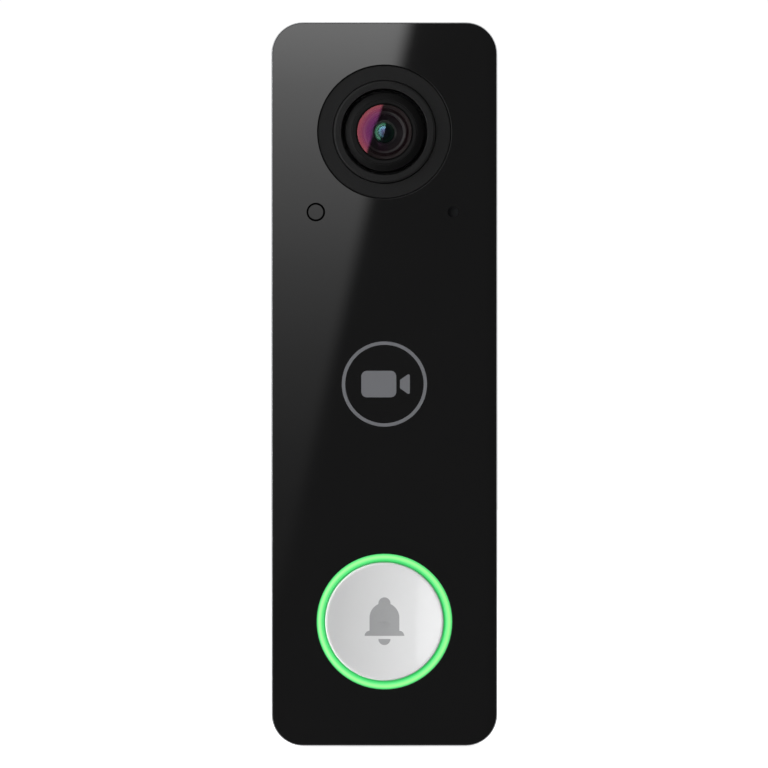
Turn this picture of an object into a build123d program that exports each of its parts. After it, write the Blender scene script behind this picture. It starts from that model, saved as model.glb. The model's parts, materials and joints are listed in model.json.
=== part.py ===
"""Slim wired video doorbell: a wall bracket and a unit that hooks on it.

Row frame, millimetres: X to the right as a visitor sees it, Z up, the front faces -Y.
The wall plane is Y = 0 and the origin is midway between the two wall-screw holes.
"d" below is the distance out from the wall, so Y = -d.
"""
from build123d import *
import math
import os

# ------------------------------------------------------------------ driving sizes
W, H = 40.1, 128.3            # housing outline
R_CORNER = 5.62               # housing corner radius, front view
D_REAR = 1.0                  # rear edge of the housing, shadow gap to the wall
D_COVER = 6.0                 # rear face of the back cover
D_LEDGE = 7.5                 # ledge that the back cover sits on
D_WALL = 21.6                 # inner face of the housing's front wall
D_BOND = 23.4                 # housing front face, panel bonded on it
BOND_T = 0.3
D_PANEL = D_BOND + BOND_T     # rear face of the front panel
D_FRONT = 25.0                # front face of the panel
PANEL_W, PANEL_H, PANEL_R = 39.7, 127.9, 5.42
SKIRT_T = 1.8                 # wall thickness behind the ledge
WALL_T = 2.8                  # wall thickness in front of the ledge

ZC = 44.66                    # camera axis height
ZB = -42.06                   # button axis height
X_SENS, Z_SENS = 12.15, 30.46  # light sensor at -X_SENS, microphone at +X_SENS

R_IR_OUT, R_BEZEL, R_BEZEL_IN = 11.77, 9.08, 7.63
R_HEAD, R_RING, R_GLASS = 7.05, 5.7, 4.85
R_CAP, R_LIGHT_IN, R_LIGHT = 10.48, 10.62, 11.9
PANEL_BUTTON_R, PANEL_CAMERA_R = 12.0, 11.87
EDGE_BREAK = 0.08             # tiny round on the panel's openings
D_CAP = 25.3                  # rim of the button's front face
DISH_R, DISH_DEPTH = 10.0, 0.8  # finger hollow in the button's face
BUTTON_TRAVEL = 0.55

PIVOT_D, PIVOT_Z = 3.6, 58.2  # hinge bar that the bracket's hooks carry
BAR_R = 1.0
PLATE_T = 2.2                 # bracket plate
WALL_SCREW_Z = 26.0           # wall-screw holes at +/- this height
WALL_SCREW_R = 2.2

SEC_D = 3.3                   # security screw axis, distance from the wall
BOSS_D = 0.6                  # rear face of the boss round the security screw, a wall behind its recess
SEC_TRAVEL = 1.35
TERM_X = 7.0                  # terminal screws at +/- this, at the button's height

COVER_SCREWS = [(15.0, 50.0), (-15.0, 50.0), (15.0, 2.0), (-15.0, 2.0), (15.0, -58.4), (-15.0, -58.4)]
BOARD_SCREWS = [(14.2, 23.5), (-14.2, 23.5), (14.2, -22.5), (-14.2, -22.5)]
EARS = [(sx * 13.0, ZB + sz * 9.8) for sx in (1, -1) for sz in (1, -1)]

FILTER_PITCH = 5.4            # travel of the infrared-cut filter carriage
LEVER_L = 5.0
HUB_Z = ZC + 8.9

parts = {}


# ------------------------------------------------------------------ helpers
def front(d):
    """Plane parallel to the wall at distance d, x right, y up, normal to the visitor."""
    return Plane(origin=(0, -d, 0), x_dir=(1, 0, 0), z_dir=(0, -1, 0))


def prism(sketch, d0, d1):
    return extrude(front(d0) * sketch, amount=d1 - d0)


def rod(x, z, r, d0, d1):
    return prism(Pos(x, z) * Circle(r), d0, d1)


def tube(x, z, ro, ri, d0, d1):
    return rod(x, z, ro, d0, d1) - rod(x, z, ri, d0 - 1, d1 + 1)


def block(x0, x1, z0, z1, d0, d1):
    return Pos((x0 + x1) / 2, -(d0 + d1) / 2, (z0 + z1) / 2) * Box(x1 - x0, d1 - d0, z1 - z0)


def rounded(w, h, r, d0, d1, x=0.0, z=0.0):
    return prism(Pos(x, z) * RectangleRounded(w, h, r), d0, d1)


def near(shape, points, tol=0.02):
    return [v for v in shape.vertices() if any(abs(v.X - p[0]) < tol and abs(v.Y - p[1]) < tol for p in points)]


def turned(points, x, z, rounds=()):
    """Solid of revolution about an axis along Y through (x, z). points are (radius, d), rounds are (point, radius)."""
    face = make_face(Polyline(*points, close=True).edges())
    for p, r in rounds:
        face = fillet(near(face, [p]), r)
    plane = Plane(origin=(x, 0, z), x_dir=(1, 0, 0), z_dir=(0, 0, -1))
    return revolve(plane * face, Axis((x, 0, z), (0, -1, 0)), 360)


def upright(x, d, r, z0, z1):
    """Cylinder along Z."""
    return extrude(Plane(origin=(x, -d, z0)) * Circle(r), amount=z1 - z0)


def side_profile(points, x0, x1, rounds=()):
    """Prism along X with a side profile given as (d, z)."""
    face = make_face(Polyline(*points, close=True).edges())
    for p, r in rounds:
        face = fillet(near(face, [p]), r)
    plane = Plane(origin=(x0, 0, 0), x_dir=(0, -1, 0), z_dir=(-1, 0, 0))
    return extrude(plane * face, amount=-(x1 - x0))


def across(d, z, r, x0, x1):
    """Cylinder along X."""
    return extrude(Plane(origin=(x0, -d, z), x_dir=(0, 1, 0), z_dir=(1, 0, 0)) * Circle(r), amount=x1 - x0)


def machine_screw(x, z, d_seat, head_r, head_h, shank_r, length, recess_r):
    """Pan-head screw driven from the wall side: head behind d_seat, shank towards the visitor."""
    body = turned(
        [(0, d_seat - head_h), (head_r, d_seat - head_h), (head_r, d_seat), (shank_r, d_seat),
         (shank_r, d_seat + length - shank_r * 0.6), (shank_r * 0.55, d_seat + length), (0, d_seat + length)],
        x, z, [((head_r, d_seat - head_h), head_h * 0.45)])
    cross = Rectangle(recess_r * 2, recess_r * 0.5) + Rectangle(recess_r * 0.5, recess_r * 2)
    return body - prism(Pos(x, z) * cross, d_seat - head_h - 0.1, d_seat - head_h * 0.45)


def keep(name, shape):
    solids = shape.solids()
    parts[name] = shape if len(solids) == 1 else Compound(children=list(solids))


# ------------------------------------------------------------------ wall bracket
plate = rounded(35.2, 113.4, 3.2, 0, PLATE_T, 0, -1.2)
plate += (rounded(35.2, 113.4, 3.2, PLATE_T, 3.2, 0, -1.2) - rounded(32.8, 111.0, 2.0, PLATE_T - 1, 4.2, 0, -1.2)
          - block(-13.5, 13.5, 50.0, 60.0, PLATE_T, 4.2))
for sx in (1, -1):
    x0, x1 = (3.4, 7.6) if sx > 0 else (-7.6, -3.4)
    hook = block(x0, x1, 52.0, 58.9, 0, PLATE_T)
    hook += side_profile([(PLATE_T - 0.5, 55.2), (4.6, 55.2), (5.9, 56.5), (5.9, 58.9), (PLATE_T - 0.5, 58.9)], x0, x1,
                         [((5.9, 58.9), 0.35)])
    hook -= across(PIVOT_D, PIVOT_Z, BAR_R + 0.15, x0 - 1, x1 + 1)
    hook -= block(x0 - 1, x1 + 1, PIVOT_Z, 59.5, PIVOT_D - BAR_R - 0.15, PIVOT_D + BAR_R + 0.15)
    plate += hook
plate += block(-5.0, 5.0, -57.9, -56.3, 1.0, 5.3)
plate += side_profile([(2.0, -56.4), (4.9, -56.4), (2.0, -53.6)], -4.9, -3.7)
plate += side_profile([(2.0, -56.4), (4.9, -56.4), (2.0, -53.6)], 3.7, 4.9)
plate -= upright(0, SEC_D, 1.45, -60, -55.0)
for sz in (1, -1):
    plate -= rod(0, sz * WALL_SCREW_Z, WALL_SCREW_R, -1, 5)
    plate -= turned([(0, 1.1), (3.2, 1.1), (4.3, PLATE_T), (4.3, PLATE_T + 1), (0, PLATE_T + 1)], 0, sz * WALL_SCREW_Z)
plate -= rounded(21.0, 19.6, 3.0, -1, 5, 0, -42.2)
# weight-saving windows and a rib frame round them
for zc, hh in ((40.8, 15.0), (9.6, 17.0), (-9.6, 17.0)):
    for sx in (1, -1):
        plate -= rounded(7.4, hh, 1.5, -1, 5, sx * 11.0, zc)
keep("mounting_plate", plate)

# ------------------------------------------------------------------ housing
shell = rounded(W, H, R_CORNER, D_REAR, D_BOND)
front_edges = shell.faces().sort_by(Axis.Y)[0].edges()
rear_edges = shell.faces().sort_by(Axis.Y)[-1].edges()
shell = chamfer(rear_edges, 1.2)
front_edges = shell.faces().sort_by(Axis.Y)[0].edges()
shell = fillet(front_edges, 0.45)
shell -= rounded(W - 2 * SKIRT_T, H - 2 * SKIRT_T, R_CORNER - SKIRT_T, D_REAR - 1, D_LEDGE)
shell -= rounded(W - 2 * WALL_T, H - 2 * WALL_T, R_CORNER - WALL_T, D_LEDGE - 1, D_WALL)
shell -= rod(0, ZC, 12.2, D_WALL - 1, D_BOND + 1)
shell -= rod(0, ZB, 12.6, D_WALL - 1, D_BOND + 1)
shell -= rod(-X_SENS, Z_SENS, 2.1, D_WALL - 1, D_BOND + 1)
shell -= rod(X_SENS, Z_SENS, 2.1, D_WALL - 1, D_BOND + 1)
for x, z in COVER_SCREWS:
    post = rod(x, z, 2.2, D_LEDGE, D_WALL + 0.5)
    shell += post & rounded(W - 2, H - 2, R_CORNER - 1, D_LEDGE, D_WALL + 0.5)
    shell -= rod(x, z, 0.82, D_LEDGE - 1, 16.0)
for x, z in BOARD_SCREWS:
    shell += rod(x, z, 1.9, 14.0, D_WALL + 0.5)
    shell -= rod(x, z, 0.67, 13.0, 18.5)
for x, z in EARS:
    shell += rod(x, z, 1.9, 16.4, D_WALL + 0.5)
    shell -= rod(x, z, 0.67, 15.0, 20.0)
for a in (45, 135, 225, 315):
    shell += rod(12.85 * math.cos(math.radians(a)), ZC + 12.85 * math.sin(math.radians(a)), 0.6, 19.8, D_WALL + 0.5)
shell -= side_profile([(0.0, 60.9), (1.0, 60.9), (2.3, 64.2), (2.3, 66.0), (0.0, 66.0)], -25, 25)
shell += block(-4.0, 4.0, -62.8, -58.6, BOSS_D, D_COVER)
shell -= upright(0, SEC_D, 2.15, -66, -61.2)
shell -= upright(0, SEC_D, 1.9, -61.5, -58.0)
for d in (11.4, 13.6, 15.8, 18.0):
    slot = extrude(Plane(origin=(0, -d, -66)) * SlotOverall(15.0, 1.2), amount=5.0)
    shell -= slot
keep("housing", shell)

keep("threaded_insert", upright(0, SEC_D, 1.9, -61.2, -58.6) - upright(0, SEC_D, 1.3, -62, -58))

# ------------------------------------------------------------------ front panel, its bond and the printed pictogram
emblem = (Circle(7.55) - Circle(6.95)) + Pos(-1.0, 0) * RectangleRounded(6.2, 4.7, 1.0)
wedge = make_face(Polyline((2.75, 0.75), (4.5, 1.95), (4.5, -1.95), (2.75, -0.75), close=True).edges())
wedge = fillet(wedge.vertices(), 0.25)
emblem += wedge
panel = rounded(PANEL_W, PANEL_H, PANEL_R, D_PANEL, D_FRONT)
panel = fillet(panel.faces().sort_by(Axis.Y)[0].edges(), 0.12)
for z, r in ((ZC, PANEL_CAMERA_R), (ZB, PANEL_BUTTON_R)):
    panel -= rod(0, z, r, D_PANEL - 1, D_FRONT + 1)
rims = [e for e in panel.faces().sort_by(Axis.Y)[0].edges() if e.geom_type == GeomType.CIRCLE and e.radius > 8]
panel = fillet(rims, EDGE_BREAK)
panel -= rod(-X_SENS, Z_SENS, 1.65, D_PANEL - 1, D_FRONT + 1)
panel -= rod(X_SENS, Z_SENS, 0.95, D_PANEL - 1, D_FRONT + 1)
panel -= rod(X_SENS, Z_SENS, 1.5, D_PANEL - 1, 24.05)
panel -= prism(emblem, D_FRONT - 0.12, D_FRONT + 1)
keep("front_panel", panel)
keep("front_pictogram", prism(emblem, D_FRONT - 0.12, D_FRONT))

bond = rounded(38.9, 127.1, 5.0, D_BOND, D_PANEL)
bond -= rod(0, ZC, 12.5, 20, 26)
bond -= rod(0, ZB, 12.9, 20, 26)
bond -= rod(-X_SENS, Z_SENS, 2.3, 20, 26)
bond -= rod(X_SENS, Z_SENS, 2.3, 20, 26)
bond -= rounded(30.0, 48.0, 3.0, 20, 26, 0, -0.5)
keep("panel_adhesive", bond)

# ------------------------------------------------------------------ back cover, gasket and fasteners
cover = rounded(36.1, 124.3, 3.62, D_COVER, D_LEDGE)
cover += rounded(27.0, 8.6, 1.2, D_LEDGE - 1.0, 8.4, 0, 56.9)
cover -= rounded(24.4, 6.6, 0.8, D_COVER - 1, 7.4, 0, 57.1)
for x0, x1 in ((-11.8, -9.0), (-1.8, 1.8), (9.0, 11.8)):
    lug = across(PIVOT_D, PIVOT_Z, 1.9, x0, x1) + block(x0, x1, PIVOT_Z - 1.9, PIVOT_Z + 1.9, PIVOT_D, 7.9)
    cover += lug
cover -= across(PIVOT_D, PIVOT_Z, BAR_R + 0.01, -12.1, 12.1)
groove = rounded(36.0, 124.2, 3.57, 6.9, D_LEDGE + 1) - rounded(34.7, 122.9, 2.92, 6.0, D_LEDGE + 2)
cover -= groove
for x, z in COVER_SCREWS:
    cover -= rod(x, z, 1.0, D_COVER - 1, D_LEDGE + 1)
    cover -= rod(x, z, 2.0, D_COVER - 1, 6.8)
for sx in (1, -1):
    cover += rod(sx * TERM_X, ZB, 4.2, D_LEDGE - 0.5, 9.2)
    cover -= rod(sx * TERM_X, ZB, 2.92, D_COVER - 1, 10)
# divider between the two terminals, and a rib that stiffens the middle
cover += block(-0.6, 0.6, ZB - 5.5, ZB + 5.5, 3.4, D_COVER + 0.5)
for zr in (-24.0, -12.0, 14.0, 34.0):
    cover += block(-15.0, 15.0, zr - 0.5, zr + 0.5, 5.3, D_COVER + 0.3)
keep("back_cover", cover)

keep("cover_gasket", rounded(35.96, 124.16, 3.55, 6.9, D_LEDGE) - rounded(34.74, 122.94, 2.94, 6.0, D_LEDGE + 1))
keep("hinge_bar", across(PIVOT_D, PIVOT_Z, BAR_R, -12.0, 12.0))
keep("cover_screws", Compound(children=[machine_screw(x, z, 6.8, 1.85, 0.78, 0.8, 7.6, 0.95) for x, z in COVER_SCREWS]))
seats = [(x, z, 13.0) for x, z in BOARD_SCREWS] + [(x, z, 14.4) for x, z in EARS]
keep("board_screws", Compound(children=[machine_screw(x, z, d, 1.4, 0.8, 0.65, 4.0, 0.7) for x, z, d in seats]))

# ------------------------------------------------------------------ camera
keep("ir_window", turned(
    [(9.15, 21.9), (12.1, 21.9), (12.1, 23.6), (R_IR_OUT, 23.6), (R_IR_OUT, 24.7), (9.15, 24.7)], 0, ZC,
    [((R_IR_OUT, 24.7), 0.12), ((9.15, 24.7), 0.06)]))
keep("camera_bezel", turned(
    [(R_BEZEL_IN, 17.2), (R_BEZEL, 17.2), (R_BEZEL, 25.5), (R_BEZEL_IN, 25.5)], 0, ZC,
    [((R_BEZEL, 25.5), 0.4), ((R_BEZEL_IN, 25.5), 0.12)]))
keep("lens_barrel", turned(
    [(2.6, 11.6), (5.6, 11.6), (6.0, 12.0), (6.0, 18.5), (R_HEAD, 18.5), (R_HEAD, 24.45), (R_RING + 0.14, 25.0),
     (R_RING + 0.02, 25.0), (R_RING + 0.02, 24.4), (5.2, 24.4), (5.2, 21.3), (4.0, 21.3), (4.0, 18.2), (3.2, 18.2), (3.2, 12.4), (2.6, 12.4)], 0, ZC, [((R_HEAD, 24.45), 0.3)]))
keep("lens_retaining_ring", turned(
    [(R_GLASS + 0.07, 24.4), (R_RING, 24.4), (R_RING, 25.15), (R_GLASS + 0.07, 25.15)], 0, ZC,
    [((R_RING, 25.15), 0.1), ((R_GLASS + 0.07, 25.15), 0.06)]))


def lens(name, edge, front_apex, back_apex):
    """edge is the list of (r, d) from the front rim to the back rim; the two faces are arcs to their apex on the axis."""
    (r0, d0), (r1, d1) = edge[0], edge[-1]

    def halfway(r, d, apex):
        sag = d - apex
        radius = (r * r + sag * sag) / (2 * abs(sag))
        return r * 0.6, apex + math.copysign(radius - math.sqrt(radius * radius - 0.36 * r * r), sag)

    curves = [ThreePointArc((0, front_apex), halfway(r0, d0, front_apex), (r0, d0))]
    curves += [Line(edge[i], edge[i + 1]) for i in range(len(edge) - 1)]
    curves += [ThreePointArc((r1, d1), halfway(r1, d1, back_apex), (0, back_apex)),
               Line((0, back_apex), (0, front_apex))]
    face = make_face(curves)
    plane = Plane(origin=(0, 0, ZC), x_dir=(1, 0, 0), z_dir=(0, 0, -1))
    keep(name, revolve(plane * face, Axis((0, 0, ZC), (0, -1, 0)), 360))


lens("lens_front", [(R_GLASS - 0.01, 24.9), (R_GLASS - 0.01, 24.39), (5.18, 24.39), (5.18, 23.85)], 25.24, 23.95)
front_spacer = turned(
    [(4.32, 23.8), (5.18, 23.8), (5.18, 21.32), (3.3, 21.32), (3.3, 22.75), (3.6, 23.1), (3.66, 23.1), (3.66, 23.22),
     (3.96, 23.55), (4.02, 23.55), (4.02, 22.5), (4.32, 22.5)], 0, ZC)
stop = turned([(1.8, 18.21), (3.97, 18.21), (3.97, 18.56), (2.25, 18.56), (2.25, 18.44), (2.1, 18.44)], 0, ZC)
keep("lens_spacer", Compound(children=[front_spacer, stop]))
lens("lens_middle", [(3.6, 20.55), (3.98, 20.3), (3.98, 18.6)], 21.95, 18.95)
lens("lens_rear", [(3.0, 17.6), (3.18, 17.5), (3.18, 14.2)], 18.1, 13.3)

holder = rounded(21.0, 20.0, 1.2, 8.7, 14.0, 0, ZC + 2.5) + rod(0, ZC, 8.0, 13.5, 17.2)
holder -= rod(0, ZC, 6.03, 8, 18)
holder -= rounded(18.0, 17.0, 0.6, 8.0, 11.4, 0, ZC + 3.3)
keep("lens_holder", holder)

board = (Circle(13.4) - Circle(9.2)) - Pos(0, -13.6) * Rectangle(5, 1.0)
keep("ir_led_board", prism(Pos(0, ZC) * board, 19.0, 19.8))
leds = []
for k in range(6):
    a = math.radians(30 + 60 * k)
    pad = Pos(10.6 * math.cos(a), ZC + 10.6 * math.sin(a)) * Rot(0, 0, math.degrees(a)) * RectangleRounded(2.2, 2.4, 0.3)
    led = prism(pad, 19.8, 20.7)
    led += rod(10.6 * math.cos(a), ZC + 10.6 * math.sin(a), 0.85, 20.6, 21.1)
    leds.append(led)
keep("ir_leds", Compound(children=leds))

sensor_board = rounded(20.0, 15.1, 0.8, 7.9, 8.7, 0, 44.75)
keep("sensor_board", sensor_board)
sensor = rounded(7.2, 6.2, 0.2, 8.7, 9.35, 0, ZC)
keep("image_sensor", sensor)

cx = FILTER_PITCH / 2
carriage = rounded(11.0, 10.3, 0.5, 9.7, 10.7, cx, ZC + 0.55)
for wx in (cx - FILTER_PITCH / 2, cx + FILTER_PITCH / 2):
    carriage -= prism(Pos(wx, ZC) * Rectangle(4.4, 5.6), 9.9, 10.9)
    carriage -= prism(Pos(wx, ZC) * Rectangle(3.8, 5.0), 9.0, 11.0)
carriage -= prism(Pos(cx, ZC + 4.3) * RectangleRounded(1.16, 2.1, 0.5), 9.0, 11.0)
keep("ir_filter_carriage", carriage)
keep("filter_glasses", Compound(children=[
    prism(Pos(wx, ZC) * Rectangle(4.4, 5.6), 9.9, 10.45) for wx in (cx - FILTER_PITCH / 2, cx + FILTER_PITCH / 2)]))
pin_dz = math.sqrt(LEVER_L ** 2 - cx ** 2)
swing = math.degrees(math.asin(cx / LEVER_L))
arm = Pos(0, HUB_Z) * Rot(0, 0, swing) * Pos(0, -LEVER_L / 2) * SlotOverall(LEVER_L + 1.3, 1.3, rotation=90)
lever = prism(arm, 10.85, 11.3)
lever += rod(0, HUB_Z, 1.3, 9.2, 11.3)
lever += rod(cx, HUB_Z - pin_dz, 0.45, 9.8, 11.0)
keep("ir_filter_lever", lever)
keep("ir_cut_coil", tube(0, HUB_Z, 2.75, 1.55, 8.8, 10.6))

# ------------------------------------------------------------------ light sensor and microphone
keep("light_sensor_window", turned(
    [(0, 15.1), (1.0, 15.1), (1.0, 22.0), (2.0, 22.0), (2.0, 23.2), (1.35, 23.2), (1.35, 24.97), (0, 24.97)],
    -X_SENS, Z_SENS, [((1.35, 24.97), 0.06)]))
keep("light_sensor", rounded(2.4, 2.0, 0.2, 14.0, 14.9, -X_SENS, Z_SENS))
keep("microphone", rounded(3.8, 3.0, 0.3, 14.0, 15.1, X_SENS, Z_SENS) - rod(X_SENS, Z_SENS, 0.35, 14.7, 16))
keep("microphone_boot", tube(X_SENS, Z_SENS, 2.0, 0.6, 15.1, 23.6))
keep("microphone_mesh", rod(X_SENS, Z_SENS, 1.46, 23.8, 24.05))

# ------------------------------------------------------------------ main board and what is on it
pcb = rounded(33.2, 60.9, 1.2, 13.0, 14.0, 0, 3.95)
for x, z in ((15.0, 2.0), (-15.0, 2.0)):
    pcb -= rod(x, z, 2.6, 12, 15)
for x, z in BOARD_SCREWS:
    pcb -= rod(x, z, 0.75, 12, 15)
keep("main_board", pcb)
can = rounded(16.0, 16.0, 0.8, 14.0, 16.2, 0, 15.0) - rounded(15.5, 15.5, 0.55, 13.5, 15.95, 0, 15.0)
for k in range(5):
    for j in range(5):
        can -= rod(-4.0 + 2 * k, 11.0 + 2 * j, 0.4, 15.5, 17)
keep("processor_shield", can)
module = rounded(12.0, 15.0, 0.3, 14.0, 14.8, 7.6, -12.6) + rounded(10.8, 9.6, 0.5, 14.7, 16.1, 7.6, -14.6)
keep("radio_module", module)
caps = []
for x, z in ((-6.2, -4.2), (-12.0, -4.6), (-9.0, -10.6)):
    caps.append(turned([(0, 14.0), (2.5, 14.0), (2.5, 14.9), (2.3, 15.1), (2.5, 15.3), (2.5, 19.8), (0, 19.8)], x, z,
                       [((2.5, 19.8), 0.35)]))
keep("power_capacitors", Compound(children=caps))
sink = rounded(28.0, 21.0, 1.0, D_LEDGE, 8.7, 0, 17.5) + rounded(14.0, 14.0, 0.8, 8.6, 13.0, 0, 15.0)
for zf in (8.9, 11.4, 18.6, 21.1, 23.6, 26.1):
    sink += block(-13.4, -8.2, zf - 0.5, zf + 0.5, 8.6, 11.4) + block(8.2, 13.4, zf - 0.5, zf + 0.5, 8.6, 11.4)
keep("heat_sink", sink)
cell = rounded(22.0, 21.6, 1.6, 8.0, 11.9, 0, -13.2)
cell = fillet(cell.faces().sort_by(Axis.Y)[0].edges(), 0.5)
cell = fillet(cell.faces().sort_by(Axis.Y)[-1].edges(), 0.5)
keep("backup_battery", cell)


def ribbon(path, width, x, t=0.2):
    """Flat flex along (d, z) points, extruded along X, thickness t."""
    left, right = [], []
    n = len(path)
    for i, (d, z) in enumerate(path):
        dirs = []
        if i > 0:
            dirs.append((d - path[i - 1][0], z - path[i - 1][1]))
        if i < n - 1:
            dirs.append((path[i + 1][0] - d, path[i + 1][1] - z))
        nx = ny = 0.0
        units = [(-v / math.hypot(u, v), u / math.hypot(u, v)) for u, v in dirs]
        nx, ny = sum(u[0] for u in units), sum(u[1] for u in units)
        m = math.hypot(nx, ny)
        nx, ny = nx / m, ny / m
        k = t / 2 / max(0.3, nx * units[0][0] + ny * units[0][1])
        left.append((d + nx * k, z + ny * k))
        right.append((d - nx * k, z - ny * k))
    return side_profile(left + right[::-1], x - width / 2, x + width / 2)


flex = ribbon([(7.8, 40.2), (7.8, 36.4), (8.4, 35.8), (11.8, 35.8), (12.4, 35.2), (12.4, 33.4)], 9.0, 0)
flex += block(-5.2, 5.2, 30.4, 33.4, 11.9, 13.0)
keep("camera_flex", flex)
flex2 = ribbon([(12.4, -24.0), (12.4, -26.4), (12.9, -26.9), (13.3, -27.3), (13.8, -27.9), (13.8, -31.0)], 7.0, 0)
flex2 += block(-4.2, 4.2, -24.6, -21.6, 12.0, 13.0) + block(-4.2, 4.2, -33.6, -31.0, 13.4, 14.4)
keep("button_flex", flex2)

# ------------------------------------------------------------------ button, its light ring, carrier and switch
cap = turned(
    [(0, 17.6), (2.0, 17.6), (2.5, 18.1), (2.5, 23.3), (9.2, 23.3), (9.2, 21.0), (11.1, 21.0), (11.1, 21.75), (R_CAP, 21.75),
     (R_CAP, D_CAP), (0, D_CAP)], 0, ZB, [((R_CAP, D_CAP), 0.2)])
bell = Pos(0, 3.21) * Circle(1.07) + Pos(0, 0.68) * Circle(2.64) + Pos(0, -0.5) * Rectangle(5.28, 2.36)
flare = make_face([
    Line((-3.52, -2.54), (3.52, -2.54)), ThreePointArc((3.52, -2.54), (3.27, -1.93), (2.64, -1.62)),
    Line((2.64, -1.62), (-2.64, -1.62)), ThreePointArc((-2.64, -1.62), (-3.27, -1.93), (-3.52, -2.54))])
clapper = make_face([Line((-1.07, -3.1), (1.07, -3.1)), ThreePointArc((1.07, -3.1), (0, -4.17), (-1.07, -3.1))])
bell = bell + flare
icon = Pos(0, ZB) * (bell + clapper)
dish = (DISH_R ** 2 + DISH_DEPTH ** 2) / (2 * DISH_DEPTH)
hollow = Pos(0, -(D_CAP - DISH_DEPTH + dish), ZB) * Rot(90, 0, 0) * Sphere(dish)
under_print = Pos(0, -(D_CAP - DISH_DEPTH + dish), ZB) * Rot(90, 0, 0) * Sphere(dish + 0.12)
printed = (prism(icon, 23.8, D_CAP) & under_print) - hollow
cap = cap - hollow - printed
keep("button_cap", cap)
keep("bell_pictogram", printed)

rp = Plane(origin=(0, 0, ZB), x_dir=(1, 0, 0), z_dir=(0, 0, -1))
ring_face = make_face([
    Line((R_LIGHT_IN, 21.8), (R_LIGHT_IN, 24.75)), ThreePointArc((R_LIGHT_IN, 24.75), (11.26, 25.1), (R_LIGHT, 24.75)),
    Line((R_LIGHT, 24.75), (R_LIGHT, 23.0)), Line((R_LIGHT, 23.0), (12.5, 23.0)), Line((12.5, 23.0), (12.5, 21.8)),
    Line((12.5, 21.8), (12.4, 21.8)), Line((12.4, 21.8), (12.4, 19.3)), Line((12.4, 19.3), (11.4, 19.3)),
    Line((11.4, 19.3), (11.4, 21.8)), Line((11.4, 21.8), (R_LIGHT_IN, 21.8))])
keep("light_ring", revolve(rp * ring_face, Axis((0, 0, ZB), (0, -1, 0)), 360))

carrier = rod(0, ZB, 14.3, 18.2, 19.2) + tube(0, ZB, 14.3, 12.9, 15.4, D_WALL)
for x, z in EARS:
    ear = rod(x, z, 2.1, 15.4, 16.4)
    mid = Pos(x * 0.93, ZB + (z - ZB) * 0.93) * Rot(0, 0, math.degrees(math.atan2(z - ZB, x))) * Rectangle(3.6, 3.6)
    ear += prism(mid, 15.4, 16.4)
    ear -= rod(0, ZB, 13.4, 15, 17)
    carrier += ear
    carrier -= rod(x, z, 0.75, 15, 17)
carrier -= rod(0, ZB, 3.0, 17, 20)
for k in range(8):
    a = math.radians(22.5 + 45 * k)
    carrier -= rod(11.9 * math.cos(a), ZB + 11.9 * math.sin(a), 0.9, 17, 20)
keep("button_carrier", carrier)
seal = turned([(2.65, 19.2), (11.2, 19.2), (11.2, 20.0), (10.0, 20.0), (9.6, 19.7), (4.2, 19.7), (3.6, 20.3), (2.65, 20.3)], 0, ZB)
keep("button_seal", seal)

bb = Pos(0, ZB) * Circle(14.5)
for x, z in EARS:
    bb += Pos(x, z) * Circle(2.1)
    bb += Pos(x * 0.93, ZB + (z - ZB) * 0.93) * Rot(0, 0, math.degrees(math.atan2(z - ZB, x))) * Rectangle(3.6, 3.6)
for x, z in EARS:
    bb -= Pos(x, z) * Circle(0.75)
keep("button_board", prism(bb, 14.4, 15.4))
rgb = []
for k in range(8):
    a = math.radians(22.5 + 45 * k)
    sq = Pos(11.75 * math.cos(a), ZB + 11.75 * math.sin(a)) * Rot(0, 0, math.degrees(a)) * Rectangle(1.6, 1.6)
    rgb.append(prism(sq, 15.4, 16.1))
keep("status_leds", Compound(children=rgb))
keep("switch_body", rounded(6.0, 6.0, 0.5, 15.4, 17.0, 0, ZB) - rod(0, ZB, 1.65, 15.55, 18))
keep("switch_plunger", turned([(0, 16.2), (1.6, 16.2), (1.6, 17.55), (0, 17.55)], 0, ZB, [((1.6, 17.55), 0.15)]))

# ------------------------------------------------------------------ speaker
speaker_outline = RectangleRounded(22.0, 10.4, 3.0)
speaker_plane = Plane(origin=(0, -14.8, -60.95))
spk = extrude(speaker_plane * speaker_outline, amount=3.4)
spk += extrude(Plane(origin=(0, -14.8, -57.6)) * RectangleRounded(12.0, 7.0, 2.0), amount=0.75)
spk -= extrude(Plane(origin=(0, -14.8, -61.2)) * RectangleRounded(18.8, 7.6, 2.4), amount=0.75)
spk += extrude(Plane(origin=(0, -14.8, -60.6)) * RectangleRounded(11.0, 4.4, 2.0), amount=0.4)
keep("speaker", spk)
sg = extrude(Plane(origin=(0, -14.8, -61.35)) * (RectangleRounded(23.0, 11.0, 3.2) - RectangleRounded(18.6, 8.6, 2.4)), amount=0.4)
keep("speaker_gasket", sg)

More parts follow.
